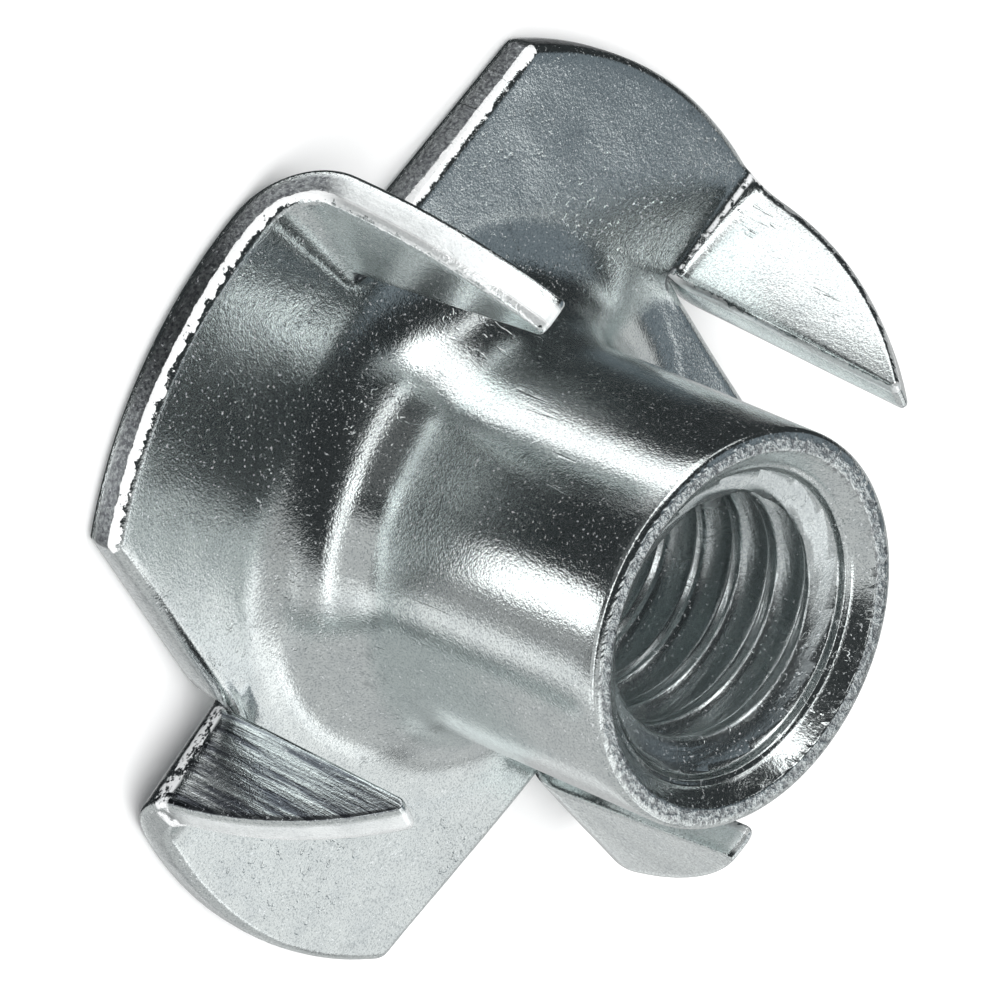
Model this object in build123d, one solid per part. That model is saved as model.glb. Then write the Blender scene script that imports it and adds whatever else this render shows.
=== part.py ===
from build123d import *
import math
import os

# Four-prong tee nut for an M6 screw, drawn and stamped in one piece from sheet steel.
# Origin: centre of the flange's back face, +Z along the barrel towards its mouth.

# ---- driving dimensions, mm ----
flange_r = 9.5           # outer radius of the round flange blank
sheet_t = 0.95           # thickness of the flange and of the prongs
barrel_r = 4.1           # outer radius of the drawn barrel
height = 8.75            # back face of the flange to the mouth of the barrel
bore_r = 2.5             # crest radius of the M6 x 1 female thread, modelled as a plain wall
base_fillet_r = 2.0      # concave drawing radius between flange and barrel
funnel_r = 2.0           # rounded entry that the punch leaves in the back face
mouth_r = 3.5            # open radius of the countersink at the mouth
mouth_depth = 0.8        # depth of that countersink
mouth_edge = 0.14        # rounded outer edge of the mouth
prong_x = 6.6            # distance from the axis to the straight cut edge of each prong
prong_face_y = 1.75      # distance from the radial line to the prong's outer face
bend_in_r = 0.35         # inner radius of the prong's bend
tip_r = 0.32             # blunt tip of the prong
slit_end_r = 0.22        # rounded end of the slit beside the prong's root
corner_r = 0.35          # rounded corner where the slit leaves the rim
rim_roll = 0.13          # die roll along the edge of the flange
prong_count = 4

# ---- values that follow ----
neutral = 0.4 * sheet_t
bend_y = prong_face_y - sheet_t - bend_in_r          # where the bend starts
bend_len = math.pi / 2 * (bend_in_r + neutral)       # flat length that the bend uses
wall_z = sheet_t + bend_in_r                         # where the upright wall starts
flat_gap = bend_y + bend_len - wall_z                # flat distance minus height on the wall
slit_y = math.sqrt(flange_r**2 - prong_x**2)         # where the straight cut meets the rim
tip_z = slit_y - flat_gap                            # sharp height of the prong


def barrel():
    """Barrel, base fillet, back funnel, bore and mouth countersink: one revolved section."""
    q = math.sqrt(0.5)
    with BuildSketch(Plane.XZ) as section:
        with BuildLine():
            fillet_end = (barrel_r + base_fillet_r, sheet_t)
            fillet_top = (barrel_r, sheet_t + base_fillet_r)
            fillet_mid = (
                barrel_r + base_fillet_r * (1 - q),
                sheet_t + base_fillet_r * (1 - q),
            )
            Polyline(
                (bore_r, funnel_r),
                (bore_r, height - mouth_depth),
                (mouth_r, height),
                (barrel_r - mouth_edge, height),
            )
            ThreePointArc(
                (barrel_r - mouth_edge, height),
                (barrel_r - mouth_edge * (1 - q), height - mouth_edge * (1 - q)),
                (barrel_r, height - mouth_edge),
            )
            Line((barrel_r, height - mouth_edge), fillet_top)
            ThreePointArc(fillet_top, fillet_mid, fillet_end)
            Polyline(
                fillet_end,
                (barrel_r + base_fillet_r, 0),
                (bore_r + funnel_r, 0),
            )
            ThreePointArc(
                (bore_r + funnel_r, 0),
                (bore_r + funnel_r * (1 - q), funnel_r * (1 - q)),
                (bore_r, funnel_r),
            )
        make_face()
    return revolve(section.sketch, axis=Axis.Z)


def flange():
    """Round sheet with four notches, each the flat place that a prong was bent out of."""
    disc = Circle(flange_r)
    notch_len = flange_r
    for i in range(prong_count):
        notch = Rectangle(notch_len, notch_len, align=(Align.MIN, Align.MAX))
        notch = Pos(prong_x, -bend_y) * notch
        disc -= Rot(0, 0, -90 * i) * notch
    # the corner where the cut leaves the rim, and the inner end of the slit
    rim_corner = [
        v
        for v in disc.vertices()
        if abs(math.hypot(v.X, v.Y) - flange_r) < 1e-3
        and min(
            abs(v.X * math.cos(a) + v.Y * math.sin(a) - prong_x) for a in ANGLES
        )
        < 1e-3
    ]
    disc = fillet(rim_corner, corner_r)
    ring = disc - Circle(barrel_r + base_fillet_r - 0.6)
    plate = extrude(ring, sheet_t)
    roll = [
        e
        for e in plate.edges()
        if abs(e.center().Z - sheet_t) < 1e-4
        and math.hypot((e @ 0.5).X, (e @ 0.5).Y) > barrel_r + base_fillet_r
        and not any(_touches_root(e, a) for a in ANGLES)
    ]
    return plate, roll


ANGLES = [math.radians(-90 * i) for i in range(4)]


def _local(p, a):
    """Coordinates of a point in one prong's own frame: x outward, y away from its lobe."""
    return (
        p.X * math.cos(a) + p.Y * math.sin(a),
        p.X * math.sin(a) - p.Y * math.cos(a),
    )


def _touches_root(edge, a):
    """True for the short edge along the bend line, which the prong grows out of."""
    x, y = _local(edge @ 0.5, a)
    return x > prong_x - 0.2 and abs(y - bend_y) < 1e-3


def prong():
    """Bent strip along +X, its wall on the -Y side, cut to the outline of the round blank."""
    q = math.sqrt(0.5)
    cy, cz = -bend_y, sheet_t + bend_in_r
    ro = bend_in_r + sheet_t
    with BuildSketch(Plane.YZ.offset(prong_x)) as strip:
        with BuildLine():
            Polyline((cy + 0.6, 0), (cy, 0))
            ThreePointArc((cy, 0), (cy - ro * q, cz - ro * q), (cy - ro, cz))
            Polyline(
                (cy - ro, cz),
                (cy - ro, tip_z + 1),
                (cy - bend_in_r, tip_z + 1),
                (cy - bend_in_r, cz),
            )
            ThreePointArc(
                (cy - bend_in_r, cz),
                (cy - bend_in_r * q, cz - bend_in_r * q),
                (cy, sheet_t),
            )
            Polyline((cy, sheet_t), (cy + 0.6, sheet_t), (cy + 0.6, 0))
        make_face()
    bent = extrude(strip.sketch, flange_r - prong_x + 1)
    # the blank's round edge, carried up the wall
    points = []
    rim_x0 = math.sqrt(flange_r**2 - bend_y**2)
    wall_x0 = math.sqrt(flange_r**2 - (wall_z + flat_gap) ** 2)
    points.append((rim_x0, 0))
    points.append((rim_x0 * 0.6 + wall_x0 * 0.4, sheet_t * 0.6))
    n = 9
    for i in range(n):
        z = wall_z + (tip_z - wall_z) * i / (n - 1)
        points.append((math.sqrt(flange_r**2 - (z + flat_gap) ** 2), z))
    points[-1] = (prong_x, tip_z)
    with BuildSketch(Plane.XZ) as outline:
        with BuildLine():
            Line((prong_x, 0), (points[0][0], 0))
            Spline(points)
            Line(points[-1], (prong_x, 0))
        make_face()
        tip = outline.vertices().sort_by(Axis.Y)[-1]
        fillet(tip, tip_r)
    cutter = extrude(outline.sketch, 12, both=True)
    piece = bent & cutter
    return piece


plate, roll_edges = flange()
plate = fillet(roll_edges, rim_roll) if roll_edges else plate
body = barrel() + plate
for i in range(prong_count):
    body = body + Rot(0, 0, -90 * i) * prong()

# inner end of each slit: the short upright edge between the cut and the prong's root
slit_edges = []
for e in body.edges():
    m = e @ 0.5
    d = e % 0.5
    for a in ANGLES:
        x, y = _local(m, a)
        if abs(x - prong_x) < 1e-3 and abs(y - bend_y) < 1e-3 and abs(abs(d.Z) - 1) < 1e-3:
            slit_edges.append(e)
print("slit edges", len(slit_edges))

tee_nut = body
solids = tee_nut.solids()
print("solids", len(solids), "volume", round(tee_nut.volume, 2), "valid", tee_nut.is_valid)
print("prong tip z", round(tip_z, 3), "bend y", round(bend_y, 3))
tee_nut = solids[0]
tee_nut.label = "tee_nut"

os.makedirs("parts", exist_ok=True)
export_step(tee_nut, "parts/tee_nut.step")
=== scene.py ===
import math

import bmesh
import bpy
import numpy as np
from mathutils import Matrix, Vector, noise


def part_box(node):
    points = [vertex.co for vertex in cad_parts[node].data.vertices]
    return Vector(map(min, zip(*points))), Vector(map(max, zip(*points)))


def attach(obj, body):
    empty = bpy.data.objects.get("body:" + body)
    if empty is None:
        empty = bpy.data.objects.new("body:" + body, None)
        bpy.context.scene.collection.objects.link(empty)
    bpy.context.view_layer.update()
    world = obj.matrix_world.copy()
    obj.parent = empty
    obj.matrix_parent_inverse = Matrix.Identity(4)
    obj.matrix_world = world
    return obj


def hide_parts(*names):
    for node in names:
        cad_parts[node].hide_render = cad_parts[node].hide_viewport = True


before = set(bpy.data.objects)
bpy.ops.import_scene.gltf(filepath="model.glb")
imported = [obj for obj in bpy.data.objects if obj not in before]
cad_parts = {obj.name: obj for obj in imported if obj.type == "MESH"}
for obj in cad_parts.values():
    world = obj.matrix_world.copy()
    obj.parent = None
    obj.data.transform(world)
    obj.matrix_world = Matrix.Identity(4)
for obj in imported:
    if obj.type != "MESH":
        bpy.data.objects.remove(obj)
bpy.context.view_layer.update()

# ------------------------------------------------------------------ dimensions, mm
LO, HI = (np.array(c) * 1000.0 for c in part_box("tee_nut"))
HEIGHT = float(HI[2])            # mouth of the barrel
RIM = 9.5                        # flange radius
T = 0.95                         # sheet thickness
RB = 4.1                         # barrel radius
FIL = 2.0                        # concave radius at the barrel's base
R_CREST, R_ROOT, PITCH = 2.5, 3.04, 1.0
XQ = 6.6                         # straight cut edges
SLIT = 0.06                      # width of the slit at its closed end
ROLL = 0.26                      # how far in from an edge the sheet starts to roll over
R_RING = 6.15                    # ring where the polar part meets the four lobes

# Each prong as it was bent: direction of its fold, distance of its outer face, bend angle past
# square (radians), inner radius at the cut edge and how much it grows to the rim, tip shortening
PRONGS = {
    "A": dict(th=0.0, yo=1.72, b=-0.055, ri=0.24, c=0.62, h=-0.05, tip=0.20, web=0.85, tw=0.0),
    "B": dict(th=-90.0, yo=1.49, b=-0.134, ri=0.26, c=0.10, h=0.12, tip=0.13, web=0.30, tw=-1.5),
    "D": dict(th=-180.0, yo=1.95, b=0.030, ri=0.24, c=0.95, h=0.10, tip=0.16, web=0.30, tw=0.0),
    "C": dict(th=-270.0, yo=1.94, b=0.130, ri=0.34, c=0.45, h=0.16, tip=0.18, web=0.95, tw=0.0),
}
ORDER = ["A", "B", "D", "C"]     # clockwise; each prong ends the lobe that comes before it
# lobe owned by each prong: rim radius offset, slope along the rim, lift of the rim
LOBES = {
    "A": dict(r=-0.02, s=0.05, z=0.06),
    "B": dict(r=-0.01, s=0.02, z=0.01),
    "D": dict(r=-0.01, s=0.00, z=0.06),
    "C": dict(r=-0.14, s=0.12, z=0.00),
}
for p in PRONGS.values():
    p["ys"] = p["yo"] - T - p["ri"] + p["web"]      # closed end of the slit, past the start of the bend

N_LINE, N_CORN, N_ARC = 22, 9, 38
N_COL = N_LINE + N_CORN + N_ARC
K_END = 6
N_HALF = 7
CORNER = {"A": 0.16, "B": 0.42, "D": 0.30, "C": 0.40}   # rounding of each lobe's free corner

PROFILE = [
    (ROLL, T), (0.205, T - 0.006), (0.155, T - 0.022), (0.108, T - 0.050), (0.066, T - 0.094),
    (0.032, T - 0.152), (0.010, T - 0.225), (0.0, T - 0.31), (0.0, 0.44), (0.010, 0.28),
    (0.020, 0.13), (0.036, 0.055), (0.072, 0.014), (0.13, 0.0), (ROLL, 0.0),
]

verts, faces, tags, sheet = [], [], [], []


def add_grid(P, tag, closed=False, flip=False, flat=False):
    """P: (rows, cols, 3) points; quads between neighbours. flat marks sheet that is still to be bent."""
    base = len(verts)
    n, m = P.shape[:2]
    sheet.extend([flat] * (n * m))
    verts.extend(P.reshape(-1, 3).tolist())
    tg = np.broadcast_to(np.asarray(tag, float), (n, m, 4)).reshape(-1, 4)
    tags.extend(tg.tolist())
    for i in range(n - 1):
        for j in range(m if closed else m - 1):
            j2 = (j + 1) % m
            q = (base + i * m + j, base + i * m + j2, base + (i + 1) * m + j2, base + (i + 1) * m + j)
            faces.append(q[::-1] if flip else q)


def rot(P, deg):
    a = math.radians(deg)
    c, s = math.cos(a), math.sin(a)
    Q = P.copy()
    Q[..., 0] = P[..., 0] * c - P[..., 1] * s
    Q[..., 1] = P[..., 0] * s + P[..., 1] * c
    return Q


def inner_r(k, x):
    p = PRONGS[k]
    return p["ri"] + max(p["c"], 0.0) * np.clip((x - XQ) / 2.6, 0.0, 1.35)


def smooth(t):
    t = np.clip(t, 0, 1)
    return t * t * (3 - 2 * t)


def bend(k, P):
    """Flat sheet (x, y, height in the sheet) with prong k bent up about its fold."""
    p = PRONGS[k]
    L = rot(P, -p["th"])
    x, q, w = L[..., 0], -L[..., 1], L[..., 2]
    ri = inner_r(k, x)
    ys = p["yo"] - T - ri
    ang = math.pi / 2 + p["b"]
    ba = ang * (ri + 0.42 * T)
    v = q - ys
    ph = np.clip(v / ba, 0, 1) * ang
    rr = ri + T - w
    s = np.clip(v - ba, 0, None)
    y2 = ys + np.minimum(v, 0) + rr * np.sin(ph) + s * math.cos(ang)
    z2 = (T + ri) - rr * np.cos(ph) + s * math.sin(ang)
    x2 = x.copy()
    # a bent prong also turns a little about its own length
    a = math.radians(p["tw"]) * smooth((z2 - 1.0) / 3.5)
    dx, dy = x - 7.4, -(y2 - (p["yo"] - T / 2))
    x2 = 7.4 + dx * np.cos(a) - dy * np.sin(a)
    y3 = -(p["yo"] - T / 2) + dx * np.sin(a) + dy * np.cos(a)
    f = np.where(x >= XQ, 1.0, smooth((x - 6.19) / (XQ - 6.19)) * (1 - smooth((q - p["ys"]) / 0.55)))
    f = np.where((v > 0) & (x > 6.19), f, 0.0)
    B = np.stack([x2, y3, z2], -1)
    return rot(L + (B - L) * f[..., None], p["th"])


def lift(k, P):
    """The rim of each lobe stands a little higher than the middle of the flange."""
    r = np.hypot(P[..., 0], P[..., 1])
    Q = P.copy()
    Q[..., 2] += LOBES[k]["z"] * np.clip((r - 6.8) / 2.7, 0, 1.1) ** 1.3
    return Q


def lobe_rim(k, psi):
    """Rim radius of lobe k at angle psi (radians, anticlockwise from its prong's fold)."""
    u = (np.degrees(psi) - 21.0) / 24.0
    return RIM + LOBES[k]["r"] + LOBES[k]["s"] * np.clip(u, -1.1, 1.1)


def rim_at_fold(k):
    return float(lobe_rim(k, -math.asin(PRONGS[k]["ys"] / RIM)))


def graded(n, a, b, ea, eb):
    """n+1 values from a to b, closer together at an end when its e is above 0."""
    t = np.linspace(0, 1, n + 1)
    w = 1.0 / (1 + ea * np.exp(-t * 7) + eb * np.exp(-(1 - t) * 7))
    c = np.concatenate([[0], np.cumsum((w[1:] + w[:-1]) / 2)])
    c /= c[-1]
    return a + (b - a) * c


def lobe_outline(k, prev, d=0.0):
    """Outline of lobe k, d in from its edge, from the slit of the prong before it to its own fold."""
    ysp = PRONGS[prev]["ys"]
    ycut = XQ - SLIT / 2 - d
    rc = max(CORNER[k] - d, 0.04 * CORNER[k])
    Rc0 = float(lobe_rim(k, np.array(math.asin(XQ / RIM))))
    Rc = Rc0 - d
    yc = ycut - rc
    xc = math.sqrt((Rc - rc) ** 2 - yc ** 2)
    ac = math.atan2(yc, xc)
    xs = graded(N_LINE, ysp, xc, 2.0, 3.0)
    pts = [(x, ycut) for x in xs]
    for t in np.linspace(math.pi / 2, ac, N_CORN + 1)[1:]:
        pts.append((xc + rc * math.cos(t), yc + rc * math.sin(t)))
    a_end = -math.asin(PRONGS[k]["ys"] / rim_at_fold(k))
    r_c = float(np.hypot(*pts[-1])) + d
    for t in graded(N_ARC, ac, a_end, 3.0, 9.0)[1:]:
        r = float(lobe_rim(k, np.array(t)))
        r += (r_c - float(lobe_rim(k, np.array(ac)))) * math.exp(-abs(t - ac) / 0.03)
        pts.append(((r - d) * math.cos(t), (r - d) * math.sin(t)))
    return np.array(pts)


def fold_row(k):
    """Points across the fold, cut side to rim side, shared by the lobe and the prong."""
    ys = PRONGS[k]["ys"]
    rf = rim_at_fold(k)
    a = -math.asin(ys / rf)
    left = np.array([XQ + SLIT / 2 + ROLL, -ys])
    right = (rf - ROLL) * np.array([math.cos(a), math.sin(a)])
    mid = (left + right) / 2
    t = np.linspace(0, 1, N_HALF + 1)[:, None]
    return np.concatenate([left + (mid - left) * t, (mid + (right - mid) * t)[1:]]), mid


# ------------------------------------------------------------------ flange lobes
ring_angles = []      # anticlockwise order is restored below
for idx, k in enumerate(ORDER):
    prev = ORDER[idx - 1]
    th = PRONGS[k]["th"]
    inner = lobe_outline(k, prev, ROLL)
    # ring points
    a0 = math.pi / 2 - math.asin(PRONGS[prev]["ys"] / R_RING)
    a1 = -math.asin(PRONGS[k]["ys"] / R_RING)
    pol = np.arctan2(inner[:, 1], inner[:, 0])
    pol = a0 + (pol - pol[0]) * (a1 - a0) / (pol[-1] - pol[0])
    uni = np.linspace(a0, a1, N_COL + 1)
    ang = 0.5 * pol + 0.5 * uni
    ring = R_RING * np.stack([np.cos(ang), np.sin(ang)], -1)
    ring_angles.append(np.degrees(ang[:-1]) + th)
    # rows, spaced as the last column needs them
    fr, mid = fold_row(k)
    rho = SLIT / 2 + ROLL
    phi = np.linspace(math.pi, 0, K_END + 1)
    ysk = PRONGS[k]["ys"]
    semi = np.stack([XQ + rho * np.cos(phi), -ysk + rho * np.sin(phi)], -1)
    last = np.concatenate([ring[-1:], semi, fr[1:]])
    v = (last[:, 0] - last[0, 0]) / (last[-1, 0] - last[0, 0])
    n_rows = len(v)
    G = ring[None] + (inner - ring)[None] * v[:, None, None]
    bulge = np.zeros(n_rows)
    bulge[1:K_END + 2] = rho * np.sin(phi)
    dist = G[:, :, 1] + ysk
    fall = np.where(G[:, :, 0] > 5.0, np.clip(1 - dist / 1.3, 0, 1) ** 2, 0)
    G[:, :, 1] += bulge[:, None] * fall
    G[:, -1] = last
    G[1:, 0] = inner[0]
    for w, flip in ((T, True), (0.0, False)):
        P = np.concatenate([G, np.full(G.shape[:2] + (1,), w)], -1)
        add_grid(lift(k, rot(P, th)), (0, 0, 0, 0), flip=flip, flat=True)
    prof = np.array(PROFILE)
    E = np.zeros((len(prof), N_COL + 1, 3))
    for i, (d, w) in enumerate(prof):
        E[i, :, :2] = lobe_outline(k, prev, d)
        E[i, :, 2] = w
    tg = np.zeros((len(prof), N_COL + 1, 4))
    # Rolled-edge tag: full on lobes A and B, weak on C and D. It sets the painted white highlight along the rolled edge
    # and the depth of its ragged bumps.
    roll_highlight_strength = np.full(N_COL + 1, 1.0 if k in "AB" else 0.3)
    # Cut-wall tag: full on lobes A and B, weak on C and D. The material uses it to paint shade on these walls and to
    # make them rougher.
    wall_shade_and_matte = np.full(N_COL + 1, 1.0 if k in "AB" else 0.3)
    if k == "A":
        roll_highlight_strength[:N_LINE - 1] = 0.3
        wall_shade_and_matte[:N_LINE] = 0.35
    if k == "B":
        roll_highlight_strength[N_LINE + N_CORN - 2:] = 0.3
    tg[..., 0] = (np.clip(1 - prof[:, 0] / ROLL, 0, 1) * (prof[:, 1] > T - 0.27))[:, None] * roll_highlight_strength[None]
    tg[..., 1] = ((prof[:, 0] < 0.02) & (prof[:, 1] > 0.1))[:, None] * wall_shade_and_matte[None]
    add_grid(lift(k, rot(E, th)), tg, flip=True, flat=True)
    # closed end of the slit
    S = np.zeros((len(prof), K_END + 1, 3))
    for i, (d, w) in enumerate(prof):
        S[i, :, 0] = XQ + (SLIT / 2 + d) * np.cos(phi)
        S[i, :, 1] = -ysk + (SLIT / 2 + d) * np.sin(phi)
        S[i, :, 2] = w
    add_grid(lift(k, rot(S, th)), (0, 1, 0, 0), flat=True)

    # -------------------------------------------------------------- prong
    rf_k = rim_at_fold(k)
    xl = XQ + SLIT / 2
    TIP_R = PRONGS[k]["tip"]
    ctr = np.array([xl + TIP_R, math.sqrt((rf_k - TIP_R) ** 2 - (xl + TIP_R) ** 2)])   # (x, q)
    a_tip = math.atan2(ctr[1], ctr[0])
    nb1, nb2, nt = 16, 20, 10
    bl = np.concatenate([np.linspace(0, 0.30, nb1 + 1), np.linspace(0.30, 1, nb2 + 1)[1:]])
    L = [((xl, ysk + (ctr[1] - ysk) * b), (-1.0, 0.0)) for b in bl]
    tipc = []
    for t in np.linspace(math.pi, a_tip, nt + 1)[1:-1]:
        tipc.append(((ctr[0] + TIP_R * math.cos(t), ctr[1] + TIP_R * math.sin(t)), (math.cos(t), math.sin(t))))
    a_f = math.asin(ysk / rf_k)
    Rr = []
    for b in bl[::-1]:
        a = a_f + (a_tip - a_f) * b
        Rr.append(((rf_k * math.cos(a), rf_k * math.sin(a)), (math.cos(a), math.sin(a))))
    B = np.array([q[0] for q in L + tipc + Rr])
    Nn = np.array([q[1] for q in L + tipc + Rr])
    spine0 = np.array([mid[0], -mid[1]])
    sp = np.concatenate([
        [spine0 + (ctr - spine0) * b for b in bl],
        [ctr] * len(tipc),
        [spine0 + (ctr - spine0) * b for b in bl[::-1]],
    ])
    along = np.concatenate([bl, np.ones(len(tipc)), bl[::-1]])
    rows = []
    thin = np.concatenate([1 - 0.62 * bl, np.full(len(tipc), 0.38), 1 - 0.62 * bl[::-1]])[:, None]
    inn = B - Nn * ROLL * thin
    for i in range(N_HALF + 1):
        rows.append((sp + (inn - sp) * (i / N_HALF), T, 0, 0))
    for d, w in PROFILE[1:-1]:
        rows.append((B - Nn * d * thin, w, max(0, 1 - d / ROLL) * (w > T - 0.27), float(d < 0.02 and w > 0.1)))
    for i in range(N_HALF, -1, -1):
        rows.append((sp + (inn - sp) * (i / N_HALF), 0.0, 0, 0))
    P = np.zeros((len(rows), len(B), 3))
    tg = np.zeros((len(rows), len(B), 4))
    for i, (xy, w, e, wl) in enumerate(rows):
        # the prong's length is eased so that its tip stands at the height given
        q = xy[:, 1]
        q = q + PRONGS[k]["h"] * np.clip((q - ysk) / (ctr[1] - ysk), 0, 1.1)
        P[i, :, 0], P[i, :, 1], P[i, :, 2] = xy[:, 0], -q, w
        # Each prong's cut wall gets its own wall tag. In the material it sets painted light, strongest on prongs A and
        # C.
        tg[i, :, 0], tg[i, :, 1], tg[i, :, 2] = e, wl * {"A": 1.0, "B": 0.06, "D": 0.4, "C": 0.8}[k], smooth(along / 0.14)
    add_grid(lift(k, rot(P, th)), tg, flat=True)

# ------------------------------------------------------------------ barrel, one set of angles all round
angs = np.radians(np.concatenate(ring_angles))
M = len(angs)


def ring_rows(prof, tag, flip=False):
    P = np.zeros((len(prof), M, 3))
    for i, (r, z) in enumerate(prof):
        P[i, :, 0] = r * np.cos(angs)
        P[i, :, 1] = r * np.sin(angs)
        P[i, :, 2] = z
    add_grid(P, tag, closed=True, flip=flip)


Z_CONE = HEIGHT - 0.02
CONE_R = 3.63
Z_HI = HEIGHT - 0.56
Z_LO = 0.60
FUN = 2.0


def funnel(z):
    return R_CREST + FUN - np.sqrt(np.clip(FUN ** 2 - (FUN - np.minimum(z, FUN)) ** 2, 0, None))


outer = [(R_RING, T)]
for t in np.linspace(90, 0, 19):
    a = math.radians(t)
    outer.append((RB + FIL - FIL * math.cos(a), T + FIL - FIL * math.sin(a)))
zs = np.linspace(T + FIL, HEIGHT - 0.16, 13)[1:]
outer += [(RB, z) for z in zs]
for t in (22, 45, 68, 90):
    a = math.radians(t)
    outer.append((RB - 0.16 + 0.16 * math.cos(a), HEIGHT - 0.16 + 0.16 * math.sin(a)))
ring_rows(outer, (0, 0, 0, 0))
land = [(RB - 0.16, HEIGHT)]
for r in (3.88, 3.81, 3.74, 3.68):
    land.append((r, HEIGHT))
land += [(3.652, HEIGHT - 0.004), (CONE_R, Z_CONE)]
ring_rows(land, (0, 0, 0, 1))
conep = [(CONE_R, Z_CONE), (3.54, HEIGHT - 0.11), (3.45, HEIGHT - 0.20), (3.37, HEIGHT - 0.285), (3.305, HEIGHT - 0.35),
         (3.295, HEIGHT - 0.375), (3.205, HEIGHT - 0.39), (3.200, HEIGHT - 0.405), (3.170, HEIGHT - 0.42),
         (3.183, HEIGHT - 0.44), (3.146, HEIGHT - 0.455), (3.160, HEIGHT - 0.475), (3.124, HEIGHT - 0.49),
         (3.140, HEIGHT - 0.51), (3.108, HEIGHT - 0.53), (3.105, Z_HI)]
ring_rows(conep, (0, 0, 0, 0))

# thread: rows climb with the helix, so each crest is one clean line
NP = 17
table_p = np.linspace(0, 1, 400, endpoint=False)
u = np.abs(table_p - 0.5)
raw = R_CREST + (R_ROOT - R_CREST) * np.clip((u - 0.13) / (0.435 - 0.13), 0, 1)
ker = np.exp(-0.5 * (np.arange(-40, 41) / 9.0) ** 2)
ker /= ker.sum()
raw = np.convolve(np.concatenate([raw[-40:], raw, raw[:40]]), ker, "valid")
THREAD_PHASE = 0.15
n_r = int((Z_HI - Z_LO + PITCH) / PITCH * NP) + 2
P = np.zeros((n_r, M + 1, 3))
aa = np.concatenate([angs, angs[:1] - 2 * math.pi])
turnfrac = (angs[0] - aa) / (2 * math.pi)            # 0 to 1, clockwise
for i in range(n_r):
    z = Z_LO + i * PITCH / NP - turnfrac * PITCH
    z = np.clip(z, Z_LO, Z_HI)
    ph = np.mod(z / PITCH - (aa / (2 * math.pi)) + THREAD_PHASE, 1.0)
    rt = np.interp(ph, np.append(table_p, 1.0), np.append(raw, raw[0]))
    r = np.maximum(np.maximum(rt, 3.105 - (Z_HI - z) * 4.0), funnel(z))
    P[i, :, 0], P[i, :, 1], P[i, :, 2] = r * np.cos(aa), r * np.sin(aa), z
add_grid(P, (0, 0, 0, 0), flip=True)

# back: funnel and flat underside out to the ring
under = [(float(funnel(np.array(z))), z) for z in (0.6, 0.52, 0.44, 0.36, 0.29, 0.22, 0.16, 0.11, 0.07, 0.04, 0.018, 0.005)]
under += [(4.5, 0.0), (4.8, 0.0), (5.2, 0.0), (5.65, 0.0), (R_RING, 0.0)]
ring_rows(under, (0, 0, 0, 0), flip=False)

# ------------------------------------------------------------------ one welded shell
XYZ = np.array(verts)
flat = np.array(sheet)
S0 = XYZ[flat]
# the disc is coined a little thinner toward its rim
S0[:, 2] *= 1 - 0.05 * np.clip(np.hypot(S0[:, 0], S0[:, 1]) - R_RING, 0, 3.4) / T
# one prong came off the bending punch slightly rounded across its width
L = rot(S0, -PRONGS["B"]["th"])
on = (L[:, 0] > XQ) & (L[:, 1] < -PRONGS["B"]["ys"])
S0[:, 2] -= np.where(on, (L[:, 0] - 7.2) ** 2 / 25.0 * smooth((-L[:, 1] - PRONGS["B"]["ys"]) / 0.9), 0)
fold = np.zeros((len(XYZ), 4))
fold_marks_and_highlight = np.zeros((len(S0), 4))
# Marks on the bends of prongs C and B: a stripe at a set point of each bend for a painted highlight, and drawing
# streaks on prong C's outer face.
for k, at, amount in (("C", 0.72, 1.0), ("B", 0.42, 0.8)):
    L = rot(S0, -PRONGS[k]["th"])
    ri = inner_r(k, L[:, 0])
    ba = (math.pi / 2 + PRONGS[k]["b"]) * (ri + 0.42 * T)
    v = -L[:, 1] - (PRONGS[k]["yo"] - T - ri)
    on = (L[:, 0] > XQ) & (L[:, 1] < 0)
    fold_marks_and_highlight[:, 0] += np.where(on, amount * np.exp(-((v / ba - at) / 0.11) ** 2), 0)
    fold_marks_and_highlight[:, 1] += np.where(on & (v > 0) & (k == "C") & (L[:, 2] < 0.012), 1.0, 0)
fold[flat] = fold_marks_and_highlight
for k in ORDER:
    S0 = bend(k, S0)
XYZ[flat] = S0
me = bpy.data.meshes.new("tee_nut_shell")
me.from_pydata((XYZ / 1000.0).tolist(), [], faces)
zone = me.color_attributes.new("zone", "FLOAT_COLOR", "POINT")
zone.data.foreach_set("color", np.array(tags, dtype=np.float32).ravel())
press = me.color_attributes.new("press", "FLOAT_COLOR", "POINT")
press.data.foreach_set("color", fold.astype(np.float32).ravel())
bm = bmesh.new()
bm.from_mesh(me)
bmesh.ops.remove_doubles(bm, verts=bm.verts[:], dist=6e-7)
bmesh.ops.recalc_face_normals(bm, faces=bm.faces[:])
if bm.calc_volume(signed=True) < 0:
    bmesh.ops.reverse_faces(bm, faces=bm.faces[:])
for f in bm.faces:
    f.smooth = True
bm.normal_update()
print("open edges", sum(1 for e in bm.edges if len(e.link_faces) != 2),
      "tris", sum(len(f.verts) - 2 for f in bm.faces), "volume", bm.calc_volume(signed=True) * 1e9)
for e in [e for e in bm.edges if len(e.link_faces) != 2][:8]:
    print("  open", len(e.link_faces), [tuple(round(x * 1000, 4) for x in v.co) for v in e.verts])

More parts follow.
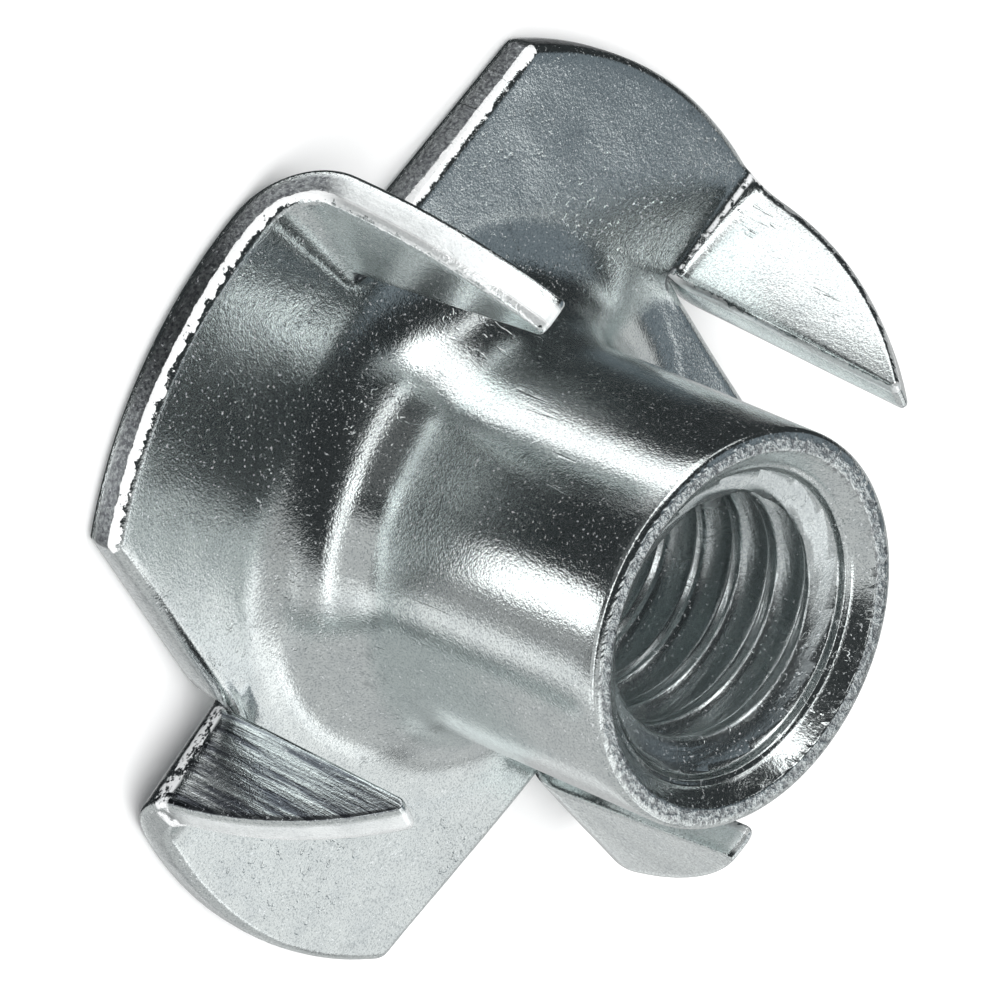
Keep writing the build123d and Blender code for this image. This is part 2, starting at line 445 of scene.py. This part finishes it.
# the sheet is not flat: the forming of barrel and prongs leaves it slightly dished and rippled
for v in bm.verts:
    x, y, z = v.co.x * 1000, v.co.y * 1000, v.co.z * 1000
    r = math.hypot(x, y)
    if z <= 1e-6 or r < 3.2:
        continue
    d = 0.0
    if r > 4.6 and z < 2.6:
        w = min(1.0, (r - 4.6) / 1.2) * min(1.0, z / 0.9) * max(0.0, min(1.0, (2.6 - z) / 1.2))
        d += w * (0.030 * noise.noise(Vector((x * 0.42 + 3.1, y * 0.42 + 1.7, 0.3)))
                  + 0.008 * noise.noise(Vector((x * 1.3, y * 1.3, 5.0))))
    if r > 4.6 and z >= 1.2:
        d += 0.010 * noise.noise(Vector((x * 0.7 + 9.0, y * 0.7, z * 0.5))) * min(1.0, (z - 1.2) / 1.0)
    if r <= 4.6:
        d += 0.0012 * noise.noise(Vector((x * 0.5, y * 0.5, z * 0.35 + 7.0)))
    v.co += v.normal * (d / 1000.0)
    v.co.z = min(max(v.co.z, 0.0), HEIGHT / 1000.0)
bm.to_mesh(me)
bm.free()
obj = bpy.data.objects.new("tee_nut_shell", me)
bpy.context.collection.objects.link(obj)

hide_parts("tee_nut")
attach(obj, "root")

# ------------------------------------------------------------------ camera
ROWS = np.array([[-0.3982, -0.59679, 0.69662], [-0.59822, 0.74466, 0.29599], [-0.69539, -0.29886, -0.65353]])
CAM = np.array([205.82, 87.94, 194.92]) / 1000.0
LENS = 15.0 * 36.0
Mx = Matrix((
    (ROWS[0][0], -ROWS[1][0], -ROWS[2][0], CAM[0]),
    (ROWS[0][1], -ROWS[1][1], -ROWS[2][1], CAM[1]),
    (ROWS[0][2], -ROWS[1][2], -ROWS[2][2], CAM[2]),
    (0, 0, 0, 1),
))
cam = bpy.data.cameras.new("camera")
cam.lens = LENS
cam.sensor_width = 36.0
cam.clip_start = 0.02
cam.clip_end = 10.0
cam_o = bpy.data.objects.new("camera", cam)
cam_o.matrix_world = Mx
bpy.context.collection.objects.link(cam_o)
bpy.context.scene.camera = cam_o

# ------------------------------------------------------------------ material
mat = bpy.data.materials.new("zinc_plate")
mat.use_nodes = True
nt = mat.node_tree
bsdf = nt.nodes["Principled BSDF"]
bsdf.inputs["Metallic"].default_value = 1.0


def node(kind, **kw):
    n = nt.nodes.new("ShaderNode" + kind)
    for a, b in kw.items():
        setattr(n, a, b)
    return n


def link(a, b):
    nt.links.new(a, b)


def math_node(op, a, b, clamp=False):
    n = node("Math", operation=op, use_clamp=clamp)
    for i, x in enumerate((a, b)):
        if x is None:
            continue
        if isinstance(x, (int, float)):
            n.inputs[i].default_value = x
        else:
            link(x, n.inputs[i])
    return n.outputs[0]


def ramp(x, lo, hi, a, b):
    n = node("MapRange", clamp=True)
    link(x, n.inputs["Value"])
    for i, val in (("From Min", lo), ("From Max", hi), ("To Min", a), ("To Max", b)):
        n.inputs[i].default_value = val
    return n.outputs["Result"]


coord = node("TexCoord").outputs["Object"]
zone_n = node("Attribute", attribute_name="zone")
sep = node("SeparateColor")
link(zone_n.outputs["Color"], sep.inputs[0])
z_roll_and_highlight, z_wall_and_shading, z_prong = sep.outputs[0], sep.outputs[1], sep.outputs[2]
z_land = zone_n.outputs["Alpha"]


def noise_tex(scale, detail=2.0, rough=0.5, vec=None):
    n = node("TexNoise")
    n.inputs["Scale"].default_value = scale
    n.inputs["Detail"].default_value = detail
    n.inputs["Roughness"].default_value = rough
    link(vec if vec is not None else coord, n.inputs["Vector"])
    return n.outputs[0]


def stretched(sx, sy, sz):
    m = node("Mapping")
    m.inputs["Scale"].default_value = (sx, sy, sz)
    link(coord, m.inputs["Vector"])
    return m.outputs[0]


grain = noise_tex(11000, 3.0, 0.6)
blot = noise_tex(1700, 3.0, 0.55)
cloud = noise_tex(420, 2.0, 0.5)
fine = noise_tex(24000, 1.5, 0.6)
pits = noise_tex(7000, 2.0, 0.7)
rag = noise_tex(3800, 3.0, 0.7)
glint = noise_tex(15000, 2.0, 0.7)
pull = noise_tex(1.0, 3.0, 0.6, stretched(9000, 9000, 500))
turn_marks = noise_tex(1.0, 2.0, 0.6, stretched(900, 900, 16000))

press_n = node("Attribute", attribute_name="press")
psep = node("SeparateColor")
link(press_n.outputs["Color"], psep.inputs[0])
z_fold_and_highlight, z_drawn_and_shade = psep.outputs[0], psep.outputs[1]
drawn = noise_tex(1.0, 3.0, 0.65, stretched(700, 7000, 450))
lobe_only = math_node("SUBTRACT", 1.0, z_prong, clamp=True)
# Cut walls away from the rolled edge. On the lobes this mask carries painted shade as well as extra roughness and pits.
wall_and_shade = math_node("MULTIPLY", z_wall_and_shading, ramp(z_roll_and_highlight, 0.35, 0.9, 1.0, 0.0))
# Painted highlight: a ragged white band along the rolled-over edge, weaker on the prongs. It is made matte white so
# that it shows bright.
ragged_edge_highlight = math_node("ADD", z_roll_and_highlight, math_node("MULTIPLY", math_node("SUBTRACT", rag, 0.5), 1.7))
ragged_edge_highlight = math_node("MULTIPLY", ramp(ragged_edge_highlight, 0.56, 0.64, 0.0, 1.0), ramp(z_roll_and_highlight, 0.25, 0.45, 0.0, 1.0))
ragged_edge_highlight = math_node("MULTIPLY", ragged_edge_highlight, math_node("SUBTRACT", 1.0, math_node("MULTIPLY", z_prong, 0.55)))
xyz = node("SeparateXYZ")
link(coord, xyz.inputs[0])
radius = math_node("SQRT", math_node("ADD", math_node("MULTIPLY", xyz.outputs[0], xyz.outputs[0]),
                                     math_node("MULTIPLY", xyz.outputs[1], xyz.outputs[1])), None)
bore = ramp(radius, 0.00306, 0.00310, 1.0, 0.0)

rough = ramp(cloud, 0.35, 0.75, 0.13, 0.20)
rough = math_node("ADD", rough, math_node("MULTIPLY", wall_and_shade, 0.22))
rough = math_node("ADD", rough, math_node("MULTIPLY", z_land, 0.08))
rough = math_node("ADD", rough, math_node("MULTIPLY", bore, 0.10))
link(rough, bsdf.inputs["Roughness"])



def mix(fac, c1, c2):
    n = node("MixRGB")
    link(fac, n.inputs["Fac"])
    for i, c in (("Color1", c1), ("Color2", c2)):
        if isinstance(c, tuple):
            n.inputs[i].default_value = c
        else:
            link(c, n.inputs[i])
    return n.outputs[0]


c = mix(ramp(blot, 0.45, 0.75, 0.0, 0.5), (0.85, 0.90, 0.89, 1), (0.66, 0.71, 0.72, 1))
c = mix(ramp(fine, 0.50, 0.64, 0.0, 0.55), c, (0.36, 0.40, 0.42, 1))
c = mix(ramp(noise_tex(1050, 4.0, 0.7), 0.64, 0.74, 0.0, 0.5), c, (0.30, 0.33, 0.34, 1))
# Painted shade: the lobes' cut walls are darkened to near-black, most on lobes A and B.
c = mix(math_node("MULTIPLY", math_node("MULTIPLY", wall_and_shade, lobe_only), ramp(grain, 0.38, 0.62, 0.95, 0.55)), c,
        (0.13, 0.135, 0.15, 1))
c = mix(math_node("MULTIPLY", bore, ramp(grain, 0.4, 0.6, 0.25, 0.6)), c, (0.58, 0.63, 0.64, 1))
# Prong C's outer face: drawing streaks, darkened to near-black as painted shade.
c = mix(math_node("MULTIPLY", z_drawn_and_shade, ramp(drawn, 0.40, 0.62, 0.92, 0.15)), c, (0.10, 0.11, 0.135, 1))
c = mix(math_node("MULTIPLY", z_land, ramp(pits, 0.36, 0.60, 0.85, 0.0)), c, (0.22, 0.23, 0.24, 1))
# Painted light: the prongs' cut walls are lightened to near-white.
painted_wall_light = math_node("MULTIPLY", math_node("MULTIPLY", z_wall_and_shading, z_prong), ramp(blot, 0.35, 0.65, 0.75, 0.55))
c = mix(painted_wall_light, c, (0.93, 0.95, 0.95, 1))
# Painted glints: scattered near-white specks with little metal, lit by the fill lamp, stand in for sparkle.
painted_glint = math_node("MULTIPLY", ramp(glint, 0.62, 0.68, 0.0, 1.0), 0.38)
c = mix(painted_glint, c, (0.95, 0.97, 1.0, 1))
# Painted highlight on the rolled edge.
c = mix(ragged_edge_highlight, c, (0.95, 0.96, 0.96, 1))
# Painted highlight: a ragged white stripe along the bends of prongs C and B, with the raggedness of a crushed press
# mark.
ragged_fold_highlight = math_node("MULTIPLY", ramp(z_fold_and_highlight, 0.35, 0.6, 0.0, 1.0), ramp(rag, 0.44, 0.52, 0.0, 1.0))
c = mix(ragged_fold_highlight, c, (0.93, 0.94, 0.95, 1))
link(c, bsdf.inputs["Base Color"])
# The painted highlights, glints and wall light are made mostly non-metallic, so the fill lamp lights them white.
link(math_node("SUBTRACT", 1.0, math_node("MULTIPLY", math_node("MAXIMUM", math_node("MAXIMUM", ragged_edge_highlight, ragged_fold_highlight), math_node("MAXIMUM", painted_wall_light, painted_glint)), 0.85)), bsdf.inputs["Metallic"])

bump1 = node("Bump")
bump1.inputs["Strength"].default_value = 1.0
bump1.inputs["Distance"].default_value = 1.0


def add_height(h, tex, amount, mask=None):
    t = math_node("MULTIPLY", tex, amount)
    if mask is not None:
        t = math_node("MULTIPLY", t, mask)
    return t if h is None else math_node("ADD", h, t)


h = add_height(None, grain, 4.5e-6)
h = add_height(h, fine, 3.2e-6)
scratch = ramp(noise_tex(1.0, 2.0, 0.5, stretched(5200, 5200, 330)), 0.62, 0.67, 0.0, 1.0)
h = add_height(h, scratch, -6.0e-6, ramp(cloud, 0.5, 0.6, 0.0, 1.0))
h = add_height(h, blot, 3.0e-6)
h = add_height(h, pits, 20.0e-6, z_land)
h = add_height(h, rag, 16.0e-6, z_roll_and_highlight)
h = add_height(h, pull, 8.0e-6, math_node("MULTIPLY", wall_and_shade, z_prong))
h = add_height(h, pits, 10.0e-6, wall_and_shade)
h = add_height(h, drawn, 14.0e-6, z_drawn_and_shade)
h = add_height(h, rag, 14.0e-6, z_fold_and_highlight)
h = add_height(h, turn_marks, 9.0e-6, ramp(radius, 0.00322, 0.00327, 1.0, 0.0))
link(h, bump1.inputs["Height"])
link(bump1.outputs[0], bsdf.inputs["Normal"])
me.materials.append(mat)

# ------------------------------------------------------------------ lights
def panel(name, az, el, w, h, radiance, dist=0.6, tint=(1.0, 1.0, 1.0), roll=0.0):
    """A soft box seen from the part at azimuth az and elevation el, w by h degrees, facing the part."""
    a, e = math.radians(az), math.radians(el)
    p = Vector((math.cos(a) * math.cos(e), math.sin(a) * math.cos(e), math.sin(e))) * dist
    li = bpy.data.lights.new(name, "AREA")
    li.shape = "RECTANGLE"
    li.size = 2 * dist * math.tan(math.radians(w / 2))
    li.size_y = 2 * dist * math.tan(math.radians(h / 2))
    li.energy = radiance * li.size * li.size_y * LIGHT_K
    li.color = tint
    o = bpy.data.objects.new(name, li)
    q = p.to_track_quat("Z", "Y")
    o.rotation_mode = "QUATERNION"
    o.rotation_quaternion = q
    o.location = p
    if roll:
        o.rotation_quaternion = q @ Matrix.Rotation(math.radians(roll), 3, "Z").to_quaternion()
    o.visible_diffuse = False
    o.visible_camera = False
    bpy.context.collection.objects.link(o)
    return o


LIGHT_K = 4.0
panel("side_a", 101, 0, 44, 116, 0.38)
panel("side_b", 145, 0, 44, 116, 0.38)
panel("side_c", 200, -22, 66, 72, 0.40)
panel("side_c_high", 181, 38, 36, 44, 0.62)
panel("edge_line", 86, -35, 9, 60, 0.30, dist=0.58)
panel("strip", 322, 0, 21, 100, 1.15)
panel("strip_soft", 339, -5, 11, 90, 0.30)
panel("key_low", 46, -44, 15, 34, 1.4)
panel("key_low_soft", 67, -44, 24, 34, 0.22)
panel("front", 66, 2, 44, 46, 0.36)
panel("front_low", 12, 0, 44, 50, 0.06)
panel("arc_left", 325, 31, 26, 17, 0.85, dist=0.64)
panel("arc_low", 297, 19, 20, 11, 0.8, dist=0.64)
panel("arc_mid", 6, 27, 54, 10, 1.05, dist=0.64)
panel("arc_right", 60, 27, 54, 10, 1.05, dist=0.64)
panel("back_sheen", 228, 42, 40, 44, 0.13, dist=0.62, tint=(0.82, 0.96, 1.08))
panel("top_back", 145, 66, 54, 24, 0.32, dist=0.62)

fill = panel("floor_fill", 60, 80, 100, 100, 1.0, dist=0.7)
fill.visible_glossy = False
fill.visible_diffuse = True
fill.data.energy = 21.0

# ------------------------------------------------------------------ stage
fm = bpy.data.meshes.new("floor")
s = 3.0
fz = -0.00004
fm.from_pydata([(-s, -s, fz), (s, -s, fz), (s, s, fz), (-s, s, fz)], [], [(0, 1, 2, 3)])
floor = bpy.data.objects.new("floor", fm)
bpy.context.collection.objects.link(floor)
fmat = bpy.data.materials.new("floor")
fmat.use_nodes = True
fb = fmat.node_tree.nodes["Principled BSDF"]
fb.inputs["Base Color"].default_value = (0.93, 0.93, 0.93, 1)
fb.inputs["Roughness"].default_value = 0.9
fb.inputs["Specular IOR Level"].default_value = 0.0
fm.materials.append(fmat)
floor.visible_glossy = False
floor.visible_shadow = False

world = bpy.data.worlds.new("world")
bpy.context.scene.world = world
world.use_nodes = True
bg = world.node_tree.nodes["Background"]
bg.inputs[0].default_value = (0.9, 1.0, 1.05, 1)
bg.inputs[1].default_value = 0.034
bpy.context.scene.view_settings.view_transform = "Standard"
